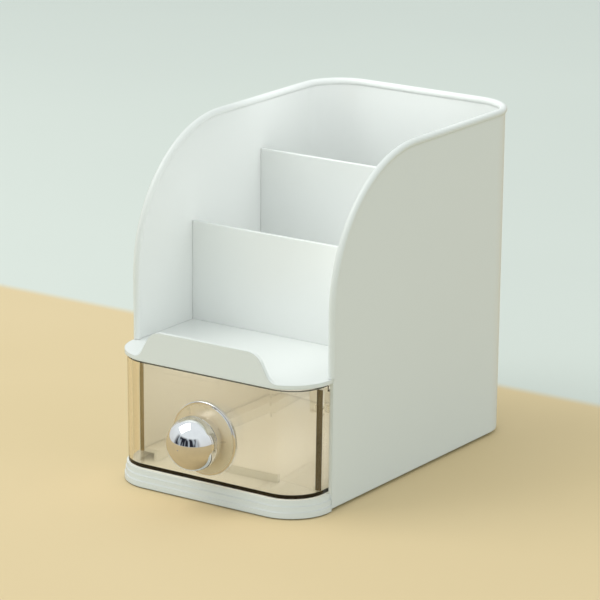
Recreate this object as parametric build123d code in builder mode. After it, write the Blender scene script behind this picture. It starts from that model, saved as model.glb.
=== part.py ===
"""Brush holder with a drawer: a tall open-fronted housing over a clear sliding drawer.

Millimetres. +Z is up and the drawer opens towards -Y. The origin is the centre of the object's
footprint, knob and rim included, on the surface that it stands on.
"""
import os
from math import radians, sqrt, tan

from build123d import *

# ---------------------------------------------------------------- driving dimensions
# Housing walls
TOP_WIDTH = 114.0  # over the side walls, at the rolled rim
SHELL_DEPTH = 165.0  # side walls' front edges to the back face, at the rolled rim
RIM_HEIGHT = 164.3  # middle of the rolled rim above the table
WALL = 1.8
DRAFT = 0.2  # degrees, each wall leans outwards as it rises
BACK_CORNER_R = 22.5  # outside, at the rolled rim
FRONT_ARC_R = 68.0  # quarter arc from the front edge into the top edge
BEAD_D = 3.6  # rolled rim
SKIRT_CLEAR = 1.7  # table to the walls' lower edge

# Parts that stand out in front of the walls
FRONT_OVERHANG = 23.8
FRONT_CORNER_R = 22.0

# Deck over the drawer
DECK_Z = 63.0  # underside
DECK_T = 2.0
LIP_HEIGHT = 13.6  # above the deck
LIP_FOOT_WIDTH = 75.0  # where the sloping ends meet the deck
LIP_TOP_WIDTH = 60.0  # where the sloping ends meet the top edge
LIP_SHOULDER_R = 9.0
LIP_FOOT_R = 6.0
LIP_T = 2.0
DECK_LEDGE_W = 2.4
DECK_LEDGE_H = 3.2

# Dividers
DIVIDER_T = 1.8
FRONT_DIVIDER_Y = 43.5  # from the walls' front edges to the divider's front face
FRONT_DIVIDER_H = 49.5  # above the deck
REAR_DIVIDER_Y = 101.4
REAR_DIVIDER_H = 74.4
TAB_WIDTH = 14.0
TAB_SPACING = 60.0

# Base plate and plinth
BASE_UNDERSIDE = 0.6  # lowest edge of the plinth above the table
BASE_FLOOR_Z = 1.9  # underside of the floor
BASE_FLOOR_T = 2.0
BASE_WALL = 2.4
PLINTH_TOP = 9.1
PLINTH_OUT = 0.2  # foot of the plinth beyond the side walls
PLINTH_FRONT_OUT = 0.1  # foot of the plinth in front of the deck
PLINTH_CORNER_R = 21.5
PLINTH_STEPS = 3
STEP_IN = 0.5  # each step of the plinth stands back by this much

# Runners under the drawer, moulded on the side walls
RUNNER_TOP = 9.3
RUNNER_W = 9.6  # from the side walls to the runners' inner edges
RUNNER_T = 1.8

# Drawer
DRAWER_LENGTH = 136.0
DRAWER_SET_BACK = 1.9  # behind the front of the deck
DRAWER_DRAFT = 0.5  # degrees, each side leans outwards as it rises
DRAWER_WALL = 1.8
DRAWER_FLOOR = 1.8
DRAWER_FRONT_TOP = 61.6
DRAWER_SIDE_TOP = 58.6
DRAWER_FRONT_R = 18.0  # outside, at the top
DRAWER_BACK_R = 6.0
DRAWER_EDGE_R = 0.6  # round the underside

# Drawer stops
CATCH_WIDTH = 40.0  # catch under the drawer's rear end
CATCH_T = 2.5
CATCH_DROP = 3.4
CATCH_INSET = 4.0  # from the drawer's back face
STOP_BAR_Y = 8.0  # from the walls' front edges
STOP_BAR_T = 2.0
STOP_BAR_H = 4.2
BACK_STOP_WIDTH = 8.0
BACK_STOP_SPACING = 50.0
BACK_STOP_T = 2.5
BACK_STOP_H = 14.0

# Knob
KNOB_Z = 31.6  # knob axis above the table
BALL_D = 26.0
BALL_CENTRE_OUT = 9.4  # ball's centre in front of the drawer's face
ROSETTE_D = 36.0
ROSETTE_T = 1.8
ROSETTE_RIM = 1.2
INLAY_T = 0.6
KNOB_SCREW_D = 4.0
KNOB_SCREW_HEAD_D = 8.0
KNOB_SCREW_HEAD_T = 2.4
KNOB_SCREW_REACH = 7.0  # into the ball
WASHER_D = 12.0
WASHER_T = 1.0

# Base screws and feet
BASE_SCREW_D = 3.0
BASE_SCREW_HEAD_D = 5.6
BASE_SCREW_LENGTH = 5.6
BASE_BOSS_D = 7.0
BASE_SCREW_IN = 6.0  # from the side walls
BASE_SCREW_FRONT = 14.0  # from the walls' front edges
BASE_SCREW_REAR = 33.0  # from the back face at the rim
SLOT_W = 0.9  # cross recess in the screw heads
SLOT_DEPTH = 0.9
FOOT_D = 12.0
FOOT_IN = 14.5  # from the sides of the base
FOOT_FRONT = 9.0  # in front of the walls' front edges
FOOT_REAR = 19.0  # from the back face at the rim

# Clearances
FIT_GAP = 0.1  # between parts of the housing that plug into each other
SLIDE_GAP = 0.1  # drawer above its runners
SIDE_GAP = 0.3  # drawer to the side walls
STOP_GAP = 0.3  # closed drawer to its back stops
HOLE_GAP = 0.2  # radial, screws in their clearance holes
THREAD_GAP = 0.02  # radial, screws in their own threads

# ---------------------------------------------------------------- derived places
LEAN = tan(radians(DRAFT))
DRAWER_LEAN = tan(radians(DRAWER_DRAFT))
BALL_R = BALL_D / 2
DRAWER_OUT = FRONT_OVERHANG - DRAWER_SET_BACK
KNOB_LEAN_IN = (DRAWER_FRONT_TOP - KNOB_Z) * DRAWER_LEAN  # drawer's face behind its top edge
FRONT_REACH = DRAWER_OUT - KNOB_LEAN_IN + BALL_CENTRE_OUT + BALL_R
BACK_REACH = SHELL_DEPTH - WALL / 2 + BEAD_D / 2
EDGE_Y = (FRONT_REACH - BACK_REACH) / 2  # front edges of the side walls
FRONT_Y = EDGE_Y - FRONT_OVERHANG  # front of the deck
PLINTH_Y = FRONT_Y - PLINTH_FRONT_OUT  # front of the plinth's foot
FACE_Y = EDGE_Y - DRAWER_OUT  # front of the drawer at its top
DRAWER_BACK_Y = FACE_Y + DRAWER_LENGTH
DECK_TOP = DECK_Z + DECK_T
BASE_FLOOR_TOP = BASE_FLOOR_Z + BASE_FLOOR_T
DRAWER_Z = RUNNER_TOP + SLIDE_GAP


def lean_in(z):
    """How far each wall stands inside its place at the rim, at height z."""
    return (RIM_HEIGHT - z) * LEAN


def wall_out(z):
    """Half the width over the side walls at height z."""
    return TOP_WIDTH / 2 - lean_in(z)


def back_out(z):
    """Y of the back wall's outer face at height z."""
    return EDGE_Y + SHELL_DEPTH - lean_in(z)


DRAWER_HALF = wall_out(DRAWER_FRONT_TOP) - WALL - SIDE_GAP  # at the top


def housing_outline(z, inset, front_y):
    """Plan outline with rounded back corners, inset from the housing's outer faces at z."""
    half = wall_out(z) - inset
    back = back_out(z) - inset
    with BuildSketch(Plane.XY.offset(z)) as outline:
        with Locations((0, (front_y + back) / 2)):
            Rectangle(2 * half, back - front_y)
        back_corners = outline.vertices().group_by(Axis.Y)[-1]
        fillet(back_corners, BACK_CORNER_R - lean_in(z) - inset)
    return outline.sketch


def front_outline(z, half, front_y, corner_r, inset, back_y):
    """Plan outline of what stands out in front of the walls, inset all round but at the back."""
    front = front_y + inset
    with BuildSketch(Plane.XY.offset(z)) as outline:
        with Locations((0, (front + back_y) / 2)):
            Rectangle(2 * (half - inset), back_y - front)
        front_corners = outline.vertices().group_by(Axis.Y)[0]
        fillet(front_corners, corner_r - inset)
    return outline.sketch


def drawer_lean_in(z):
    """How far each side of the drawer stands inside its place at the drawer's top."""
    return (DRAWER_FRONT_TOP - z) * DRAWER_LEAN


def drawer_outline(inset):
    """Plan outline of the drawer at its top, inset from its outer faces."""
    front = FACE_Y + inset
    back = DRAWER_BACK_Y - inset
    with BuildSketch(Plane.XY.offset(DRAWER_FRONT_TOP)) as outline:
        with Locations((0, (front + back) / 2)):
            Rectangle(2 * (DRAWER_HALF - inset), back - front)
        fillet(outline.vertices().group_by(Axis.Y)[0], DRAWER_FRONT_R - inset)
        fillet(outline.vertices().group_by(Axis.Y)[-1], DRAWER_BACK_R - inset)
    return outline.sketch


# ---------------------------------------------------------------- outer shell
SHELL_HEIGHT = RIM_HEIGHT - SKIRT_CLEAR
OVERRUN = FRONT_ARC_R / 2  # the walls are made longer in front, then cut to their profile
RUNNER_OUT = wall_out(BASE_FLOOR_TOP) - WALL / 2  # runners are rooted in the walls
RUNNER_FRONT_Y = EDGE_Y + WALL
RUNNER_BACK_Y = back_out(BASE_FLOOR_TOP) - BACK_CORNER_R
RUNNER_FOOT_Z = BASE_FLOOR_TOP
RUNNER_IN = wall_out(RUNNER_TOP) - WALL - RUNNER_W
BASE_SCREW_X = wall_out(BASE_FLOOR_TOP) - WALL - BASE_SCREW_IN
BASE_SCREW_ROWS = (EDGE_Y + BASE_SCREW_FRONT, EDGE_Y + SHELL_DEPTH - BASE_SCREW_REAR)

# Middle of the right-hand rolled rim: up the front edge, round the arc, back along the top
# edge, and round the back corner to the middle of the back wall.
rim_half = TOP_WIDTH / 2 - WALL / 2
rim_back = EDGE_Y + SHELL_DEPTH - WALL / 2
rim_corner_r = BACK_CORNER_R - WALL / 2
rim_drop = RIM_HEIGHT - DECK_TOP - FIT_GAP
side_plane = Plane(origin=(rim_half, EDGE_Y, RIM_HEIGHT), x_dir=(0, 1, 0), z_dir=(1, 0, -LEAN))

with BuildPart() as outer_shell:
    # Walls: a drafted block, hollowed, then cut to the side profile
    extrude(housing_outline(RIM_HEIGHT, 0, EDGE_Y - OVERRUN), amount=-SHELL_HEIGHT, taper=DRAFT)
    extrude(
        housing_outline(RIM_HEIGHT, WALL, EDGE_Y - 2 * OVERRUN),
        amount=-SHELL_HEIGHT,
        taper=DRAFT,
        mode=Mode.SUBTRACT,
    )
    with BuildSketch(Plane.YZ):
        with BuildLine():
            arc_start = (EDGE_Y, RIM_HEIGHT - FRONT_ARC_R)
            arc_end = (EDGE_Y + FRONT_ARC_R, RIM_HEIGHT)
            behind = EDGE_Y + SHELL_DEPTH + WALL
            RadiusArc(arc_start, arc_end, FRONT_ARC_R)
            Polyline(
                arc_end,
                (behind, RIM_HEIGHT),
                (behind, SKIRT_CLEAR),
                (EDGE_Y, SKIRT_CLEAR),
                arc_start,
            )
        make_face()
    extrude(amount=TOP_WIDTH, both=True, mode=Mode.INTERSECT)

    # Rolled rim
    with BuildLine() as rim_path:
        with BuildLine(side_plane):
            Line((0, -rim_drop), (0, -FRONT_ARC_R))
            RadiusArc((0, -FRONT_ARC_R), (FRONT_ARC_R, 0), FRONT_ARC_R)
        corner_y = rim_back - rim_corner_r
        corner_x = rim_half - rim_corner_r
        Line((rim_half, EDGE_Y + FRONT_ARC_R, RIM_HEIGHT), (rim_half, corner_y, RIM_HEIGHT))
        with BuildLine(Plane.XY.offset(RIM_HEIGHT)):
            RadiusArc((rim_half, corner_y), (corner_x, rim_back), -rim_corner_r)
        Line((corner_x, rim_back, RIM_HEIGHT), (0, rim_back, RIM_HEIGHT))
    with BuildSketch(Plane(rim_path.line @ 0, z_dir=rim_path.line % 0)):
        Circle(BEAD_D / 2)
    sweep(path=rim_path.wires()[0])

    # Ledges under the deck's sides and back
    extrude(housing_outline(DECK_Z, WALL / 2, EDGE_Y + BEAD_D), amount=-DECK_LEDGE_H)
    extrude(
        housing_outline(DECK_Z, WALL + DECK_LEDGE_W, EDGE_Y),
        amount=-DECK_LEDGE_H,
        mode=Mode.SUBTRACT,
    )

    # Right-hand runner: a flat top on an inner web, with bosses for the base screws
    with BuildSketch(Plane.XZ.offset(-RUNNER_FRONT_Y)):
        with BuildLine():
            Polyline(
                (RUNNER_IN, RUNNER_FOOT_Z),
                (RUNNER_IN + RUNNER_T, RUNNER_FOOT_Z),
                (RUNNER_IN + RUNNER_T, RUNNER_TOP - RUNNER_T),
                (RUNNER_OUT, RUNNER_TOP - RUNNER_T),
                (RUNNER_OUT, RUNNER_TOP),
                (RUNNER_IN, RUNNER_TOP),
                close=True,
            )
        make_face()
    extrude(amount=RUNNER_FRONT_Y - RUNNER_BACK_Y)
    with BuildSketch(Plane.XY.offset(RUNNER_FOOT_Z)):
        with Locations(*[(BASE_SCREW_X, y) for y in BASE_SCREW_ROWS]):
            Circle(BASE_BOSS_D / 2)
    extrude(amount=RUNNER_TOP - RUNNER_T / 2 - RUNNER_FOOT_Z)
    with BuildSketch(Plane.XY.offset(RUNNER_FOOT_Z)):
        with Locations(*[(BASE_SCREW_X, y) for y in BASE_SCREW_ROWS]):
            Circle(BASE_SCREW_D / 2 + THREAD_GAP)
    extrude(amount=BASE_SCREW_LENGTH - BASE_FLOOR_T + FIT_GAP, mode=Mode.SUBTRACT)

    # The left half is the right half's mirror image
    split(bisect_by=Plane.YZ, keep=Keep.TOP)
    mirror(about=Plane.YZ)

outer_shell.part.label = "outer_shell"

# ---------------------------------------------------------------- deck tray
DECK_HALF = wall_out(DECK_TOP)
DECK_BACK_Y = EDGE_Y - FIT_GAP  # back of the stretch in front of the walls
DIVIDER_YS = (EDGE_Y + FRONT_DIVIDER_Y, EDGE_Y + REAR_DIVIDER_Y)  # front faces
TAB_XS = (-TAB_SPACING / 2, TAB_SPACING / 2)


def deck_front(inset, back_y):
    """Plan outline of the deck in front of the walls."""
    return front_outline(DECK_Z, DECK_HALF, FRONT_Y, FRONT_CORNER_R, inset, back_y)


def lip_strip():
    """Upright strip that follows the deck's front edge, with sloping, rounded ends."""
    top_z = DECK_TOP + LIP_HEIGHT
    with BuildPart() as strip:
        extrude(deck_front(0, EDGE_Y), amount=top_z - DECK_Z)
        extrude(deck_front(LIP_T, EDGE_Y + LIP_T), amount=top_z - DECK_Z, mode=Mode.SUBTRACT)
        with BuildSketch(Plane.XZ.offset(-FRONT_Y - FRONT_CORNER_R)) as face:
            with BuildLine():
                Polyline(
                    (-DECK_HALF, DECK_Z),
                    (-DECK_HALF, DECK_TOP),
                    (-LIP_FOOT_WIDTH / 2, DECK_TOP),
                    (-LIP_TOP_WIDTH / 2, top_z),
                    (LIP_TOP_WIDTH / 2, top_z),
                    (LIP_FOOT_WIDTH / 2, DECK_TOP),
                    (DECK_HALF, DECK_TOP),
                    (DECK_HALF, DECK_Z),
                    close=True,
                )
            make_face()
            fillet(face.vertices().group_by(Axis.Y)[1].sort_by(Axis.X)[1:-1], LIP_FOOT_R)
            fillet(face.vertices().group_by(Axis.Y)[-1], LIP_SHOULDER_R)
        extrude(amount=FRONT_CORNER_R, mode=Mode.INTERSECT)
    return strip.part


with BuildPart() as deck_tray:
    extrude(deck_front(0, DECK_BACK_Y), amount=DECK_T)
    extrude(housing_outline(DECK_Z, WALL + FIT_GAP, FRONT_Y + FRONT_CORNER_R), amount=DECK_T)
    add(lip_strip())
    # Slots that the dividers' tabs plug into
    with BuildSketch(Plane.XY.offset(DECK_Z)):
        with Locations(*[(x, y + DIVIDER_T / 2) for x in TAB_XS for y in DIVIDER_YS]):
            Rectangle(TAB_WIDTH + 2 * FIT_GAP, DIVIDER_T + 2 * FIT_GAP)
    extrude(amount=DECK_T, mode=Mode.SUBTRACT)

deck_tray.part.label = "deck_tray"


# ---------------------------------------------------------------- dividers
def divider(front_y, height, label):
    """Upright panel between the leaning walls, with tabs that plug into the deck."""
    top_z = DECK_TOP + height
    foot_half = wall_out(DECK_TOP) - WALL - FIT_GAP
    top_half = wall_out(top_z) - WALL - FIT_GAP
    with BuildPart() as panel:
        with BuildSketch(Plane.XZ.offset(-front_y)):
            with BuildLine():
                Polyline(
                    (-foot_half, DECK_TOP),
                    (foot_half, DECK_TOP),
                    (top_half, top_z),
                    (-top_half, top_z),
                    close=True,
                )
            make_face()
            with Locations(*[(x, DECK_TOP) for x in TAB_XS]):
                Rectangle(TAB_WIDTH, DECK_T, align=(Align.CENTER, Align.MAX))
        extrude(amount=-DIVIDER_T)
        top_edges = panel.faces().sort_by(Axis.Z)[-1].edges().filter_by(Axis.X)
        fillet(top_edges, DIVIDER_T / 3)
    panel.part.label = label
    return panel


front_divider = divider(DIVIDER_YS[0], FRONT_DIVIDER_H, "front_divider")
rear_divider = divider(DIVIDER_YS[1], REAR_DIVIDER_H, "rear_divider")

# ---------------------------------------------------------------- base plate
BASE_INSET = WALL + FIT_GAP  # from the walls' outer faces to the base between them
BASE_HALF = wall_out(SKIRT_CLEAR) - BASE_INSET  # between the walls
PLINTH_HALF = wall_out(SKIRT_CLEAR) + PLINTH_OUT
STEP_H = (PLINTH_TOP - BASE_UNDERSIDE) / PLINTH_STEPS
TO_UNDERSIDE = Pos(0, 0, BASE_UNDERSIDE - SKIRT_CLEAR)
PLINTH_HOLLOW = BASE_WALL + STEP_IN * (PLINTH_STEPS - 1)
CATCH_Y = DRAWER_BACK_Y - CATCH_INSET - CATCH_T  # front face of the drawer's catch
BACK_STOP_Y = DRAWER_BACK_Y - drawer_lean_in(BASE_FLOOR_TOP + BACK_STOP_H) + STOP_GAP


def plinth_outline(z, half, inset, back_y):
    """Plan outline of the plinth, or of a hollow in it."""
    return front_outline(z, half, PLINTH_Y, PLINTH_CORNER_R, inset, back_y)


with BuildPart() as base_plate:
    # Stepped plinth in front of the walls
    for step in range(PLINTH_STEPS):
        step_z = BASE_UNDERSIDE + step * STEP_H
        outline = plinth_outline(step_z, PLINTH_HALF, step * STEP_IN, EDGE_Y - FIT_GAP)
        extrude(outline, amount=STEP_H)
    hollow = plinth_outline(BASE_FLOOR_TOP, PLINTH_HALF, PLINTH_HOLLOW, EDGE_Y)
    extrude(hollow, amount=PLINTH_TOP, mode=Mode.SUBTRACT)

    # Floor between the walls, with a shallow hollow under it and under the plinth
    floor = housing_outline(SKIRT_CLEAR, BASE_INSET, FRONT_Y + FRONT_CORNER_R)
    extrude(floor.moved(TO_UNDERSIDE), amount=BASE_FLOOR_TOP - BASE_UNDERSIDE)
    under_front = plinth_outline(BASE_UNDERSIDE, BASE_HALF, BASE_WALL, EDGE_Y + BASE_WALL)
    under_back = housing_outline(SKIRT_CLEAR, BASE_INSET + BASE_WALL, EDGE_Y)
    extrude(under_front, amount=BASE_FLOOR_Z - BASE_UNDERSIDE, mode=Mode.SUBTRACT)
    extrude(
        under_back.moved(TO_UNDERSIDE),
        amount=BASE_FLOOR_Z - BASE_UNDERSIDE,
        mode=Mode.SUBTRACT,
    )

    # Bar that stops the open drawer, and lugs that stop the closed one
    with BuildSketch(Plane.XY.offset(BASE_FLOOR_TOP)):
        with Locations((0, EDGE_Y + STOP_BAR_Y + STOP_BAR_T / 2)):
            Rectangle(CATCH_WIDTH, STOP_BAR_T)
    extrude(amount=STOP_BAR_H)
    with BuildSketch(Plane.XY.offset(BASE_FLOOR_TOP)):
        with Locations((0, BACK_STOP_Y + BACK_STOP_T / 2)):
            with GridLocations(BACK_STOP_SPACING, 0, 2, 1):
                Rectangle(BACK_STOP_WIDTH, BACK_STOP_T)
    extrude(amount=BACK_STOP_H)

    # Countersunk holes for the screws
    with Locations(Plane(origin=(0, 0, BASE_FLOOR_Z), x_dir=(1, 0, 0), z_dir=(0, 0, -1))):
        with Locations(*[(x, -y) for x in (-BASE_SCREW_X, BASE_SCREW_X) for y in BASE_SCREW_ROWS]):
            CounterSinkHole(
                radius=BASE_SCREW_D / 2 + HOLE_GAP,
                counter_sink_radius=BASE_SCREW_HEAD_D / 2,
                depth=BASE_FLOOR_T,
                counter_sink_angle=90,
            )

base_plate.part.label = "base_plate"

# ---------------------------------------------------------------- base screws and feet
with BuildPart() as base_screws:
    for x in (-BASE_SCREW_X, BASE_SCREW_X):
        for y in BASE_SCREW_ROWS:
            # Countersunk head flush with the floor's underside, shank up into the boss
            with BuildSketch(Plane(origin=(x, y, BASE_FLOOR_Z), x_dir=(1, 0, 0), z_dir=(0, -1, 0))):
                with BuildLine():
                    Polyline(
                        (0, 0),
                        (BASE_SCREW_HEAD_D / 2, 0),
                        (BASE_SCREW_D / 2, (BASE_SCREW_HEAD_D - BASE_SCREW_D) / 2),
                        (BASE_SCREW_D / 2, BASE_SCREW_LENGTH - BASE_SCREW_D / 2),
                        (0, BASE_SCREW_LENGTH),
                        close=True,
                    )
                make_face()
            revolve(axis=Axis((x, y, 0), (0, 0, 1)))
            with BuildSketch(Plane.XY.offset(BASE_FLOOR_Z)):
                with Locations((x, y)):
                    Rectangle(BASE_SCREW_D, SLOT_W)
                    Rectangle(SLOT_W, BASE_SCREW_D)
            extrude(amount=SLOT_DEPTH, mode=Mode.SUBTRACT)

base_screws.part.label = "base_screws"

FOOT_X = BASE_HALF - FOOT_IN
FOOT_ROWS = (EDGE_Y - FOOT_FRONT, EDGE_Y + SHELL_DEPTH - FOOT_REAR)

with BuildPart() as rubber_feet:
    with BuildSketch():
        with Locations(*[(x, y) for x in (-FOOT_X, FOOT_X) for y in FOOT_ROWS]):
            Circle(FOOT_D / 2)
    extrude(amount=BASE_FLOOR_Z)
    fillet(rubber_feet.edges().group_by(Axis.Z)[0], BASE_FLOOR_Z / 4)

rubber_feet.part.label = "rubber_feet"

# ---------------------------------------------------------------- drawer
# The knob stands square to the drawer's leaning face.
knob_plane = Plane(
    origin=(0, FACE_Y + KNOB_LEAN_IN, KNOB_Z),
    x_dir=(1, 0, 0),
    z_dir=(0, -1, -DRAWER_LEAN),
)

with BuildPart() as drawer_box:
    extrude(drawer_outline(0), amount=DRAWER_Z - DRAWER_FRONT_TOP, taper=DRAWER_DRAFT)
    fillet(drawer_box.edges().group_by(Axis.Z)[0], DRAWER_EDGE_R)
    extrude(
        drawer_outline(DRAWER_WALL),
        amount=DRAWER_Z + DRAWER_FLOOR - DRAWER_FRONT_TOP,
        taper=DRAWER_DRAFT,
        mode=Mode.SUBTRACT,
    )

    # Sides and back stand lower than the front, to pass under the deck's ledges
    with BuildSketch(Plane.XY.offset(DRAWER_SIDE_TOP)):
        with Locations((0, EDGE_Y - STOP_GAP)):
            Rectangle(TOP_WIDTH, DRAWER_LENGTH, align=(Align.CENTER, Align.MIN))
    extrude(amount=DRAWER_FRONT_TOP - DRAWER_SIDE_TOP, mode=Mode.SUBTRACT)

    # Catch under the rear end, which meets the stop bar when the drawer is open
    with BuildSketch(Plane.XY.offset(DRAWER_Z + DRAWER_FLOOR / 2)):
        with Locations((0, CATCH_Y + CATCH_T / 2)):
            Rectangle(CATCH_WIDTH, CATCH_T)
    extrude(amount=-DRAWER_FLOOR / 2 - CATCH_DROP)

    # Hole for the knob's screw
    with BuildSketch(knob_plane):
        Circle(KNOB_SCREW_D / 2 + HOLE_GAP)
    extrude(amount=-DRAWER_WALL, mode=Mode.SUBTRACT)

drawer_box.part.label = "drawer_box"

# ---------------------------------------------------------------- knob
# Distances along the knob's axis are measured outwards from the drawer's face.
SEAT_R = sqrt(BALL_R**2 - (BALL_CENTRE_OUT - ROSETTE_T) ** 2)  # ball's flat back
WASHER_BACK = -DRAWER_WALL  # washer's face against the inside of the drawer's front
SCREW_HEAD_SEAT = WASHER_BACK - WASHER_T

with BuildPart() as knob_ball:
    with Locations(knob_plane.offset(BALL_CENTRE_OUT)):
        Sphere(BALL_R)
    split(bisect_by=knob_plane.offset(ROSETTE_T), keep=Keep.TOP)
    with BuildSketch(knob_plane.offset(ROSETTE_T)):
        Circle(KNOB_SCREW_D / 2 + THREAD_GAP)
    extrude(amount=KNOB_SCREW_REACH + FIT_GAP, mode=Mode.SUBTRACT)

knob_ball.part.label = "knob_ball"

with BuildPart() as knob_rosette:
    with BuildSketch(knob_plane):
        Circle(ROSETTE_D / 2)
    extrude(amount=ROSETTE_T)
    fillet(knob_rosette.edges().sort_by(Axis.Y)[0], ROSETTE_RIM / 2)
    # Recess for the inlay, round the pad that the ball seats on
    with BuildSketch(knob_plane.offset(ROSETTE_T)):
        Circle(ROSETTE_D / 2 - ROSETTE_RIM)
        Circle(SEAT_R, mode=Mode.SUBTRACT)
    extrude(amount=-INLAY_T, mode=Mode.SUBTRACT)
    with BuildSketch(knob_plane):
        Circle(KNOB_SCREW_D / 2 + HOLE_GAP)
    extrude(amount=ROSETTE_T, mode=Mode.SUBTRACT)

knob_rosette.part.label = "knob_rosette"

with BuildPart() as knob_inlay:
    with BuildSketch(knob_plane.offset(ROSETTE_T)):
        Circle(ROSETTE_D / 2 - ROSETTE_RIM - THREAD_GAP)
        Circle(SEAT_R + THREAD_GAP, mode=Mode.SUBTRACT)
    extrude(amount=-INLAY_T)

knob_inlay.part.label = "knob_inlay"

with BuildPart() as knob_washer:
    with BuildSketch(knob_plane.offset(WASHER_BACK)):
        Circle(WASHER_D / 2)
        Circle(KNOB_SCREW_D / 2 + HOLE_GAP, mode=Mode.SUBTRACT)
    extrude(amount=-WASHER_T)

knob_washer.part.label = "knob_washer"

with BuildPart() as knob_screw:
    with BuildSketch(knob_plane.offset(SCREW_HEAD_SEAT)):
        Circle(KNOB_SCREW_HEAD_D / 2)
    extrude(amount=-KNOB_SCREW_HEAD_T)
    fillet(knob_screw.edges().sort_by(Axis.Y)[-1], KNOB_SCREW_HEAD_T / 2)
    with BuildSketch(knob_plane.offset(SCREW_HEAD_SEAT)):
        Circle(KNOB_SCREW_D / 2)
    extrude(amount=ROSETTE_T + KNOB_SCREW_REACH - SCREW_HEAD_SEAT)
    with BuildSketch(knob_plane.offset(SCREW_HEAD_SEAT - KNOB_SCREW_HEAD_T)):
        Rectangle(KNOB_SCREW_D, SLOT_W)
        Rectangle(SLOT_W, KNOB_SCREW_D)
    extrude(amount=SLOT_DEPTH, mode=Mode.SUBTRACT)

knob_screw.part.label = "knob_screw"

# ---------------------------------------------------------------- files
PIECES = (
    outer_shell,
    deck_tray,
    front_divider,
    rear_divider,
    base_plate,
    base_screws,
    rubber_feet,
    drawer_box,
    knob_ball,
    knob_rosette,
    knob_inlay,
    knob_washer,
    knob_screw,
)

os.makedirs("parts", exist_ok=True)
for piece in PIECES:
    export_step(piece.part, "parts/" + piece.part.label + ".step")
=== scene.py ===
"""Brush holder with a drawer: looks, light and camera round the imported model. Metres, +Z up."""
from math import cos, radians, sin

import bpy
from mathutils import Matrix, Vector


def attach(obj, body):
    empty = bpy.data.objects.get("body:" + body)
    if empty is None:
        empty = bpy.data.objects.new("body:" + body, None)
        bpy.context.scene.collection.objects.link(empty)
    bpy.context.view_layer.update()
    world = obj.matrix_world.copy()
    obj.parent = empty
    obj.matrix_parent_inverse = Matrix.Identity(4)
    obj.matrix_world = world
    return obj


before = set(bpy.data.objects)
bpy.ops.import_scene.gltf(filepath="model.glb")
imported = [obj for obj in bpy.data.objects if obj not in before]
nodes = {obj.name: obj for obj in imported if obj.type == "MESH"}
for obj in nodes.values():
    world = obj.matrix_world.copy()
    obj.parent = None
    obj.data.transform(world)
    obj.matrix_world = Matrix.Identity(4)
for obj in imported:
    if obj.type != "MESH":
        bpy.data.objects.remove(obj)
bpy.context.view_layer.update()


# ---------------------------------------------------------------- node helpers
def new_material(name):
    """A material with an empty node tree, its Principled shader and its output."""
    material = bpy.data.materials.new(name)
    material.use_nodes = True
    tree = material.node_tree
    tree.nodes.clear()
    output = tree.nodes.new("ShaderNodeOutputMaterial")
    shader = tree.nodes.new("ShaderNodeBsdfPrincipled")
    tree.links.new(shader.outputs["BSDF"], output.inputs["Surface"])
    return material, tree, shader, output


def texture_coords(tree, which, stretch=(1, 1, 1)):
    """Coordinates of one kind, scaled on each axis."""
    coords = tree.nodes.new("ShaderNodeTexCoord")
    mapping = tree.nodes.new("ShaderNodeMapping")
    mapping.inputs["Scale"].default_value = stretch
    tree.links.new(coords.outputs[which], mapping.inputs["Vector"])
    return mapping.outputs["Vector"]


def noise(tree, scale, detail=2.0, stretch=(1, 1, 1), which="Object"):
    """Noise over the object's own coordinates, in cycles per metre, or over another kind."""
    texture = tree.nodes.new("ShaderNodeTexNoise")
    texture.inputs["Scale"].default_value = scale
    texture.inputs["Detail"].default_value = detail
    tree.links.new(texture_coords(tree, which, stretch), texture.inputs["Vector"])
    return texture.outputs["Fac"]


def ramp(tree, factor, low, high, start=0.3, end=0.7):
    """Colours low to high over the middle of a noise."""
    node = tree.nodes.new("ShaderNodeValToRGB")
    node.color_ramp.elements[0].position = start
    node.color_ramp.elements[0].color = (*low, 1)
    node.color_ramp.elements[1].position = end
    node.color_ramp.elements[1].color = (*high, 1)
    tree.links.new(factor, node.inputs["Fac"])
    return node.outputs["Color"]


def spread(tree, factor, low, high, start=0.3, end=0.7):
    """Numbers low to high over the middle of a noise, or over another range of a value."""
    node = tree.nodes.new("ShaderNodeMapRange")
    node.inputs["From Min"].default_value = start
    node.inputs["From Max"].default_value = end
    node.inputs["To Min"].default_value = low
    node.inputs["To Max"].default_value = high
    tree.links.new(factor, node.inputs["Value"])
    return node.outputs["Result"]


def math(tree, operation, *values):
    """One sum on sockets or plain numbers."""
    node = tree.nodes.new("ShaderNodeMath")
    node.operation = operation
    for place, value in zip(node.inputs, values):
        if isinstance(value, (int, float)):
            place.default_value = value
        else:
            tree.links.new(value, place)
    return node.outputs[0]


def blend_colours(tree, factor, first, second):
    """First where the factor is 0, second where it is 1. Each is a socket or a plain colour."""
    node = tree.nodes.new("ShaderNodeMix")
    node.data_type = "RGBA"
    tree.links.new(factor, node.inputs["Factor"])
    for place, value in ((node.inputs[6], first), (node.inputs[7], second)):
        if isinstance(value, tuple):
            place.default_value = (*value, 1)
        else:
            tree.links.new(value, place)
    return node.outputs[2]


def relief(tree, shader, height, distance, edge_radius=0.0, strength=1.0):
    """Bump of a given depth, over edges rounded by a given radius."""
    bump = tree.nodes.new("ShaderNodeBump")
    bump.inputs["Distance"].default_value = distance
    bump.inputs["Strength"].default_value = strength
    tree.links.new(height, bump.inputs["Height"])
    if edge_radius:
        bevel = tree.nodes.new("ShaderNodeBevel")
        bevel.samples = 6
        bevel.inputs["Radius"].default_value = edge_radius
        tree.links.new(bevel.outputs["Normal"], bump.inputs["Normal"])
    tree.links.new(bump.outputs["Normal"], shader.inputs["Normal"])


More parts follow.
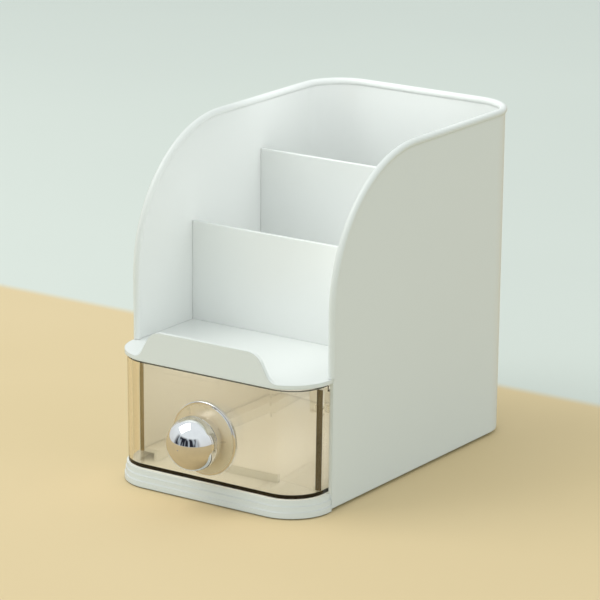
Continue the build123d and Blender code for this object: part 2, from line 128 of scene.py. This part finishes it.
# ---------------------------------------------------------------- materials
def gloss_plastic(name, low, high, edge_radius=0.0007):
    """Injection-moulded plastic: faint mottling, satin gloss and a fine orange-peel skin."""
    material, tree, shader, output = new_material(name)
    tree.links.new(ramp(tree, noise(tree, 6, 1), low, high), shader.inputs["Base Color"])
    tree.links.new(spread(tree, noise(tree, 5, 0), 0.275, 0.30), shader.inputs["Roughness"])
    shader.inputs["IOR"].default_value = 1.52
    shader.inputs["Coat Weight"].default_value = 0.12
    shader.inputs["Coat Roughness"].default_value = 0.12
    relief(tree, shader, noise(tree, 1100, 1), 0.0000012, edge_radius)
    return material


def clear_plastic(name):
    """Clear polished plastic with a champagne tint that deepens with the length of the path."""
    material, tree, shader, output = new_material(name)
    shader.inputs["Transmission Weight"].default_value = 1.0
    shader.inputs["IOR"].default_value = 1.49
    tint = ramp(tree, noise(tree, 14, 2), (0.98, 0.965, 0.94), (0.99, 0.975, 0.95))
    tree.links.new(tint, shader.inputs["Base Color"])
    tree.links.new(spread(tree, noise(tree, 40, 3), 0.0, 0.03), shader.inputs["Roughness"])
    relief(tree, shader, noise(tree, 55, 2), 0.00002, 0.0, 0.5)
    # Light from the lamps and from matt walls passes straight through, a little tinted
    passing = tree.nodes.new("ShaderNodeBsdfTransparent")
    passing.inputs["Color"].default_value = (0.985, 0.975, 0.95, 1)
    rays = tree.nodes.new("ShaderNodeLightPath").outputs
    mix = tree.nodes.new("ShaderNodeMixShader")
    straight = math(tree, "MAXIMUM", rays["Is Shadow Ray"], rays["Is Diffuse Ray"])
    tree.links.new(straight, mix.inputs["Fac"])
    tree.links.new(shader.outputs["BSDF"], mix.inputs[1])
    tree.links.new(passing.outputs["BSDF"], mix.inputs[2])
    tree.links.new(mix.outputs["Shader"], output.inputs["Surface"])
    absorb = tree.nodes.new("ShaderNodeVolumeAbsorption")
    absorb.inputs["Color"].default_value = (0.80, 0.62, 0.20, 1)
    absorb.inputs["Density"].default_value = 45.0
    tree.links.new(absorb.outputs["Volume"], output.inputs["Volume"])
    return material


def metal(name, low, high, rough_low, rough_high, stretch=(1, 1, 1)):
    """Metal with fine polishing or turning marks."""
    material, tree, shader, output = new_material(name)
    shader.inputs["Metallic"].default_value = 1.0
    marks = noise(tree, 300, 4, stretch)
    tree.links.new(ramp(tree, marks, low, high), shader.inputs["Base Color"])
    tree.links.new(spread(tree, marks, rough_low, rough_high), shader.inputs["Roughness"])
    relief(tree, shader, marks, 0.000002, 0.00015)
    return material


def enamel(name, low, high):
    """Enamel with a soft pearl mottling."""
    material, tree, shader, output = new_material(name)
    pearl = noise(tree, 160, 5)
    tree.links.new(ramp(tree, pearl, low, high), shader.inputs["Base Color"])
    tree.links.new(spread(tree, pearl, 0.26, 0.38), shader.inputs["Roughness"])
    shader.inputs["Metallic"].default_value = 0.1
    shader.inputs["Coat Weight"].default_value = 0.5
    shader.inputs["Coat Roughness"].default_value = 0.08
    relief(tree, shader, noise(tree, 900, 2), 0.000006)
    return material


def rubber(name, low, high):
    """Soft matt rubber."""
    material, tree, shader, output = new_material(name)
    grain = noise(tree, 500, 4)
    tree.links.new(ramp(tree, grain, low, high), shader.inputs["Base Color"])
    tree.links.new(spread(tree, grain, 0.5, 0.7), shader.inputs["Roughness"])
    relief(tree, shader, grain, 0.00004)
    return material


def smoked_with_painted_shade(name, low, high):
    """Tinted plastic seen along its length, polished: dark brown to near black, partly its tint and
    partly painted shade.
    """
    material, tree, shader, output = new_material(name)
    depth = noise(tree, 260, 3, (1, 1, 0.15))
    tree.links.new(ramp(tree, depth, low, high), shader.inputs["Base Color"])
    tree.links.new(spread(tree, depth, 0.08, 0.16), shader.inputs["Roughness"])
    relief(tree, shader, depth, 0.00001)
    return material


white = gloss_plastic("white_moulding", (0.862, 0.878, 0.865), (0.868, 0.884, 0.872))
clear = clear_plastic("champagne_clear")
chrome = metal("mirror_chrome", (0.84, 0.84, 0.86), (0.9, 0.9, 0.91), 0.02, 0.05)
steel = metal("plain_steel", (0.48, 0.49, 0.5), (0.6, 0.61, 0.62), 0.25, 0.42, (1, 1, 8))
champagne = enamel("champagne_enamel", (0.80, 0.66, 0.45), (0.86, 0.72, 0.51))
soft = rubber("soft_rubber", (0.56, 0.57, 0.56), (0.64, 0.65, 0.64))
# Bars at the drawer's corners: the far one's dark brown is partly the tint seen along the wall and
# partly painted shade, the near one's near black is painted shade of the gap and of the dark things
# seen through the corner
edge_far_painted_shade = smoked_with_painted_shade("plastic_edge_far", (0.20, 0.14, 0.06), (0.30, 0.22, 0.10))
edge_near_painted_shade = smoked_with_painted_shade("plastic_edge_near", (0.015, 0.009, 0.003), (0.07, 0.045, 0.014))

FINISHES = {
    "outer_shell": white,
    "deck_tray": white,
    "front_divider": white,
    "rear_divider": white,
    "base_plate": white,
    "base_screws": steel,
    "rubber_feet": soft,
    "drawer_box": clear,
    "knob_ball": chrome,
    "knob_rosette": chrome,
    "knob_inlay": champagne,
    "knob_washer": soft,
    "knob_screw": steel,
}
for name, material in FINISHES.items():
    mesh = nodes[name].data
    mesh.materials.clear()
    mesh.materials.append(material)


# ---------------------------------------------------------------- drawer's wall edges, painted dark as shade
def new_piece(name, points, faces, material):
    """A mesh object of these points and faces."""
    mesh = bpy.data.meshes.new(name)
    mesh.from_pydata(points, [], faces)
    mesh.materials.append(material)
    piece = bpy.data.objects.new(name, mesh)
    bpy.context.scene.collection.objects.link(piece)
    return piece


# The front of each side wall is seen edge-on through the drawer's rounded corner, as a dark line;
# each bar's darkness is partly the tint and partly painted shade of the gap beside it.
EDGE_FRONT_Y = -0.065
EDGE_DEPTH = 0.0008
EDGE_CHAMFER = 0.0003
EDGE_BOTTOM, EDGE_TOP = 0.0105, 0.0600
EDGE_STEPS = 12
WALL_INSIDE_BOTTOM, WALL_INSIDE_TOP = 0.05188, 0.0523  # from the middle, at those heights
INTO_WALL = 0.0001


def wall_edge(name, sign, width, material):
    """Upright bar with two chamfered front edges that leans with the drawer's side wall."""
    rings = []
    for step in range(EDGE_STEPS + 1):
        part = step / EDGE_STEPS
        z = EDGE_BOTTOM + (EDGE_TOP - EDGE_BOTTOM) * part
        inside = WALL_INSIDE_BOTTOM + (WALL_INSIDE_TOP - WALL_INSIDE_BOTTOM) * part
        outer = inside + INTO_WALL
        inner = outer - width
        corners = (
            (inner, EDGE_DEPTH),
            (inner, EDGE_CHAMFER),
            (inner + EDGE_CHAMFER, 0),
            (outer - EDGE_CHAMFER, 0),
            (outer, EDGE_CHAMFER),
            (outer, EDGE_DEPTH),
        )
        rings.append([(sign * x, EDGE_FRONT_Y + y, z) for x, y in corners])
    wide = len(rings[0])
    faces = [
        (low + j, low + (j + 1) % wide, low + wide + (j + 1) % wide, low + wide + j)
        for low in range(0, EDGE_STEPS * wide, wide)
        for j in range(wide)
    ]
    faces.append(tuple(range(wide))[::-1])
    faces.append(tuple(range(EDGE_STEPS * wide, (EDGE_STEPS + 1) * wide)))
    if sign < 0:
        faces = [face[::-1] for face in faces]  # so that they still face outwards
    return new_piece(name, [point for ring in rings for point in ring], faces, material)


for side, sign, width, material in (("left", -1, 0.0018, edge_far_painted_shade), ("right", 1, 0.0026, edge_near_painted_shade)):
    edge = wall_edge("drawer_wall_edge_" + side, sign, width, material)
    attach(edge, "drawer")


# ---------------------------------------------------------------- floor
def two_tone(name, line_y, half_blend):
    """Matt pale floor whose colour changes softly across a line at line_y."""
    material, tree, shader, output = new_material(name)
    split = tree.nodes.new("ShaderNodeSeparateXYZ")
    tree.links.new(texture_coords(tree, "Object"), split.inputs[0])
    across = tree.nodes.new("ShaderNodeMapRange")
    across.interpolation_type = "SMOOTHSTEP"
    across.inputs["From Min"].default_value = line_y - half_blend
    across.inputs["From Max"].default_value = line_y + half_blend
    tree.links.new(split.outputs["Y"], across.inputs["Value"])
    near = ramp(tree, noise(tree, 3, 3), (0.78, 0.61, 0.355), (0.82, 0.645, 0.39))
    far = ramp(tree, noise(tree, 1.5, 3), (0.72, 0.76, 0.72), (0.76, 0.80, 0.755))
    seen_colour = blend_colours(tree, across.outputs["Result"], near, far)
    # Matt walls get the floor's light with little of its colour, as from a whole pale room
    rays = tree.nodes.new("ShaderNodeLightPath").outputs
    bounced = blend_colours(tree, rays["Is Diffuse Ray"], seen_colour, (0.60, 0.59, 0.46))
    # and polished metal shows a deeper honey, as from the far side of a wooden table
    outside = math(tree, "LESS_THAN", rays["Transmission Depth"], 0.5)
    mirrored = math(tree, "MULTIPLY", rays["Is Glossy Ray"], outside)
    colour = blend_colours(tree, mirrored, bounced, (0.58, 0.43, 0.23))
    tree.links.new(colour, shader.inputs["Base Color"])
    shader.inputs["Roughness"].default_value = 0.75
    shader.inputs["Specular IOR Level"].default_value = 0.2
    return material


# Honey-coloured round the object, and pale grey-green beyond a line behind it
FLOOR_HALF = 5
floor = new_piece(
    "floor",
    [(x * FLOOR_HALF, y * FLOOR_HALF, 0.0) for x, y in ((-1, -1), (1, -1), (1, 1), (-1, 1))],
    [(0, 1, 2, 3)],
    two_tone("pale_floor", 0.157, 0.006),
)

# ---------------------------------------------------------------- light
world = bpy.data.worlds.new("studio")
bpy.context.scene.world = world
world.use_nodes = True
room = world.node_tree
room.nodes.clear()


def background(strength):
    """A background shader."""
    node = room.nodes.new("ShaderNodeBackground")
    node.inputs["Strength"].default_value = strength
    return node


world_out = room.nodes.new("ShaderNodeOutputWorld")
shine = background(0.81)  # what lights matt surfaces
shine.inputs["Color"].default_value = (0.925, 0.99, 0.97, 1)
seen = background(1.0)  # what the camera, mirrors and clear plastic see
rays = room.nodes.new("ShaderNodeLightPath").outputs
looked_at = math(room, "MAXIMUM", rays["Is Camera Ray"], rays["Is Glossy Ray"])
looked_at = math(room, "MAXIMUM", looked_at, rays["Is Transmission Ray"])
either = room.nodes.new("ShaderNodeMixShader")
room.links.new(looked_at, either.inputs["Fac"])
room.links.new(shine.outputs[0], either.inputs[1])
room.links.new(seen.outputs[0], either.inputs[2])
room.links.new(either.outputs[0], world_out.inputs["Surface"])

# Pale all round, with a dark band of room low in front for metal to show, and uprights of
# lighter and darker things in the band
direction = room.nodes.new("ShaderNodeSeparateXYZ")
room.links.new(texture_coords(room, "Generated"), direction.inputs[0])
band = room.nodes.new("ShaderNodeValToRGB")
band.color_ramp.interpolation = "EASE"
for height, shade in ((0.0, 1.0), (0.02, 0.0), (0.46, 0.0), (0.60, 1.0)):
    stop = band.color_ramp.elements.new(height)
    stop.color = (shade, shade, shade, 1)
band.color_ramp.elements.remove(band.color_ramp.elements[0])
band.color_ramp.elements.remove(band.color_ramp.elements[-1])
room.links.new(direction.outputs["Z"], band.inputs["Fac"])
beside = spread(room, direction.outputs["Y"], 0.0, 1.0, -0.72, -0.45)
pale = math(room, "MAXIMUM", band.outputs["Color"], beside)
pale = math(room, "MAXIMUM", pale, math(room, "SUBTRACT", 1.0, rays["Is Glossy Ray"]))
uprights = noise(room, 1.0, 0.0, (5, 5, 0.15), "Generated")
dark = ramp(room, uprights, (0.02, 0.022, 0.03), (0.42, 0.47, 0.50), 0.48, 0.62)
sky = ramp(room, direction.outputs["Z"], (0.70, 0.72, 0.70), (0.82, 0.87, 0.88), 0.0, 0.6)
room.links.new(blend_colours(room, pale, dark, sky), seen.inputs["Color"])


def area_light(name, place, target, size, power, colour=(1, 1, 1)):
    """Soft box at a place, facing a target."""
    data = bpy.data.lights.new(name, "AREA")
    data.shape = "RECTANGLE"
    data.size, data.size_y = size
    data.energy = power
    data.color = colour
    lamp = bpy.data.objects.new(name, data)
    bpy.context.scene.collection.objects.link(lamp)
    lamp.location = place
    lamp.rotation_euler = (Vector(target) - Vector(place)).to_track_quat("-Z", "Y").to_euler()
    return lamp


area_light("key", (-0.75, -0.5, 1.5), (0.0, 0.0, 0.07), (1.1, 1.1), 8.4, (0.98, 1.0, 0.96))

# The white walls of the real thing let light through, which fills the space round the drawer
# and the open compartments
for hidden in (
    area_light("inside", (-0.013, 0.005, 0.0618), (-0.013, 0.005, 0.0), (0.066, 0.15), 0.04),
    area_light("to_left_wall", (0.048, -0.015, 0.118), (-0.05, -0.015, 0.118), (0.12, 0.06), 0.02),
    area_light("to_back_wall", (0.0, 0.05, 0.195), (0.0, 0.1, 0.105), (0.09, 0.05), 0.018),
    area_light("inside_to_left", (0.049, 0.0, 0.036), (-0.05, 0.0, 0.036), (0.14, 0.036), 0.02),
):
    hidden.visible_camera = hidden.visible_glossy = hidden.visible_transmission = False

# ---------------------------------------------------------------- camera
AZIMUTH, ELEVATION, ROLL = radians(34.07), radians(15.74), radians(0.50)
DISTANCE = 1.6783
TARGET = Vector((-0.01444, 0.01627, 0.07345))
FOCAL_PIXELS = 3433.5
IMAGE_WIDTH = 600

back = Vector(
    (sin(AZIMUTH) * cos(ELEVATION), -cos(AZIMUTH) * cos(ELEVATION), sin(ELEVATION))
)
level = (-back).cross(Vector((0, 0, 1))).normalized()
upright = level.cross(-back)
right = cos(ROLL) * level + sin(ROLL) * upright
up = -sin(ROLL) * level + cos(ROLL) * upright
lens = bpy.data.cameras.new("camera")
lens.sensor_width = 36.0
lens.lens = FOCAL_PIXELS * lens.sensor_width / IMAGE_WIDTH
lens.clip_start, lens.clip_end = 0.05, 50.0
camera = bpy.data.objects.new("camera", lens)
bpy.context.scene.collection.objects.link(camera)
camera.matrix_world = Matrix.Translation(TARGET + back * DISTANCE) @ Matrix(
    (right, up, back)
).transposed().to_4x4()
bpy.context.scene.camera = camera
bpy.context.scene.view_settings.view_transform = "Standard"
